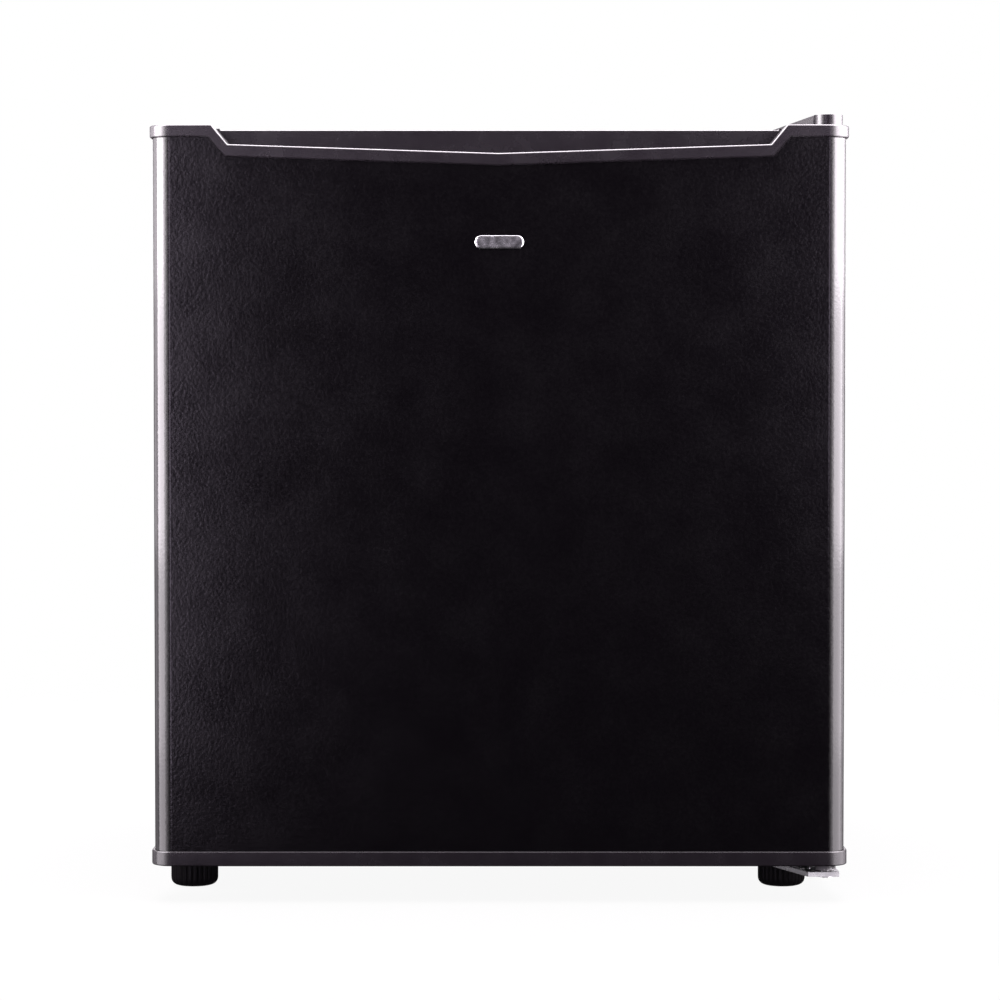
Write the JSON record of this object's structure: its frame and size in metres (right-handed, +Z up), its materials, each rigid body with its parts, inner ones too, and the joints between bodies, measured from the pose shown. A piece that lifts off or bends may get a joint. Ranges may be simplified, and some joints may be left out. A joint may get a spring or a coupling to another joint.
{
  "type": "compact refrigerator",
  "caption": "Compact free-standing refrigerator with a hung door, a finger pocket in its top edge, a freezer box, sliding shelves, door bins and a rear condenser.",
  "frame": {"origin": "on the floor under the middle of the overall box", "axes": "+Z up, +X to the right seen from the front, -Y towards the person who opens the door"},
  "size_m": [0.444, 0.47, 0.5006],
  "materials": {
    "painted_steel": "satin black, fine grain",
    "zinc_steel": "zinc plated",
    "screw_steel": "nickel plated",
    "foam": "rigid foam",
    "liner_white": "glossy white",
    "trim_black": "semi gloss black",
    "fitting_black": "matt black",
    "white_plastic": "satin white",
    "clear_plastic": "clear",
    "foot_black": "moulded black",
    "rubber": "soft black",
    "seal_grey": "soft dark grey",
    "copper": "drawn copper",
    "black_steel": "black enamel",
    "evaporator_aluminium": "lacquered",
    "shelf_glass": "toughened, clear",
    "badge_metal": "satin chrome"
  },
  "bodies": {
    "cabinet": {"cabinet_shell": "painted_steel", "base_plate": "painted_steel", "back_panel": "zinc_steel", "compressor_bay_plate": "zinc_steel", "foot_socket_left": "zinc_steel", "foot_socket_right": "zinc_steel", "compressor_tray": "zinc_steel", "thermostat_switch": "zinc_steel", "upper_hinge_plate": "zinc_steel", "lower_hinge_plate": "zinc_steel", "upper_hinge_screw_1": "screw_steel", "upper_hinge_screw_2": "screw_steel", "lower_hinge_screw_1": "screw_steel", "lower_hinge_screw_2": "screw_steel", "insulation_foam": "foam", "inner_liner": "liner_white", "upper_hinge_cover": "trim_black", "relay_cover": "fitting_black", "condenser_bracket_left": "fitting_black", "condenser_bracket_right": "fitting_black", "freezer_frame": "white_plastic", "tray_rails": "white_plastic", "thermostat_housing": "white_plastic", "hinge_washer": "white_plastic", "rear_foot_left": "foot_black", "rear_foot_right": "foot_black", "compressor_grommet_1": "rubber", "compressor_grommet_2": "rubber", "compressor_grommet_3": "rubber", "compressor_grommet_4": "rubber", "cord_gland": "rubber", "discharge_tube": "copper", "suction_tube": "copper", "liquid_tube": "copper", "capillary_tube": "copper", "filter_drier": "copper", "sensor_tube": "copper", "compressor": "black_steel", "condenser": "black_steel", "evaporator": "evaporator_aluminium"},
    "door": {"door_skin": "painted_steel", "door_top_cap": "trim_black", "door_bottom_cap": "trim_black", "lower_hinge_bush": "white_plastic", "upper_hinge_bush": "white_plastic", "door_liner": "liner_white", "door_foam": "foam", "door_seal": "seal_grey", "nameplate": "badge_metal"},
    "freezer_flap": {"freezer_flap": "clear_plastic"},
    "drip_tray": {"drip_tray": "clear_plastic"},
    "thermostat_knob": {"thermostat_knob": "white_plastic"},
    "shelf_1": {"shelf_1_glass": "shelf_glass", "shelf_1_trim": "white_plastic"},
    "shelf_2": {"shelf_2_glass": "shelf_glass", "shelf_2_trim": "white_plastic"},
    "bottle_bin": {"bottle_bin": "clear_plastic"},
    "small_bin": {"small_bin": "clear_plastic"},
    "foot_left": {"foot_left": "foot_black"},
    "foot_right": {"foot_right": "foot_black"}
  },
  "joints": [
    {"name": "door_hinge", "type": "hinge", "parent": "cabinet", "child": "door", "pos_m": [0.2095, -0.213, 0.25], "axis": [0, 0, 1], "range_deg": [0, 120]},
    {"name": "freezer_flap_hinge", "type": "hinge", "parent": "cabinet", "child": "freezer_flap", "pos_m": [-0.06, -0.0658, 0.4462], "axis": [-1, 0, 0], "range_deg": [0, 85]},
    {"name": "drip_tray_slide", "type": "slide", "parent": "cabinet", "child": "drip_tray", "axis": [0, -1, 0], "range_m": [0, 0.075]},
    {"name": "thermostat_knob_turn", "type": "hinge", "parent": "cabinet", "child": "thermostat_knob", "pos_m": [0.122, -0.0423, 0.425], "axis": [0, -1, 0], "range_deg": [0, 285]},
    {"name": "shelf_1_slide", "type": "slide", "parent": "cabinet", "child": "shelf_1", "axis": [0, -1, 0], "range_m": [0, 0.025]},
    {"name": "shelf_2_slide", "type": "slide", "parent": "cabinet", "child": "shelf_2", "axis": [0, -1, 0], "range_m": [0, 0.025]},
    {"name": "bottle_bin_lift", "type": "slide", "parent": "door", "child": "bottle_bin", "axis": [0, 0, 1], "range_m": [0, 0.018]},
    {"name": "small_bin_lift", "type": "slide", "parent": "door", "child": "small_bin", "axis": [0, 0, 1], "range_m": [0, 0.018]},
    {"name": "foot_left_screw", "type": "slide", "parent": "cabinet", "child": "foot_left", "axis": [0, 0, -1], "range_m": [0, 0.01]},
    {"name": "foot_right_screw", "type": "slide", "parent": "cabinet", "child": "foot_right", "axis": [0, 0, -1], "range_m": [0, 0.01]}
  ]
}
